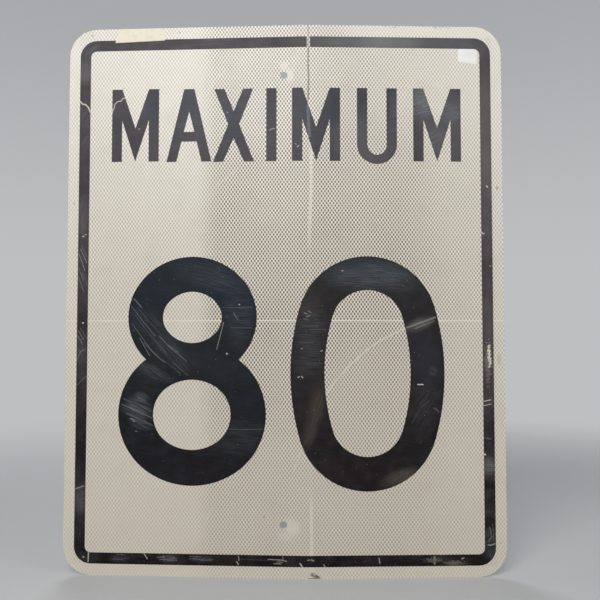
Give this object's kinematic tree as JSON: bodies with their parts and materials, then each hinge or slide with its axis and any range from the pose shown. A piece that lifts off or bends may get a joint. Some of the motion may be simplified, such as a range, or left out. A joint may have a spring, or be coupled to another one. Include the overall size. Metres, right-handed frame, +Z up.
{
  "type": "speed limit sign",
  "caption": "Upright rectangular sheet road sign with rounded corners, white reflective face, black border and large numerals, bolted flat to a post; its right side leans back.",
  "frame": {"origin": "on the flat back of the blank, half-way between the two bolt holes", "axes": "+Z up along the line of the bolt holes, -Y out of the printed face, +X to the reader's right"},
  "size_m": [0.599, 0.027, 0.75],
  "materials": {
    "aluminium": "rolled, dull and lightly scratched",
    "white_sheeting": "prismatic, with a fine diamond lattice of darker points",
    "black_legend": "glossy black, scuffed",
    "cream_tape": "matt, finely creased",
    "white_label": "matt"
  },
  "bodies": {
    "root": {"sign_blank": "aluminium", "reflective_sheeting": "white_sheeting", "border_band": "black_legend", "numeral_eight": "black_legend", "numeral_zero": "black_legend", "tape_strip": "cream_tape", "paper_sticker": "white_label"}
  },
  "joints": []
}
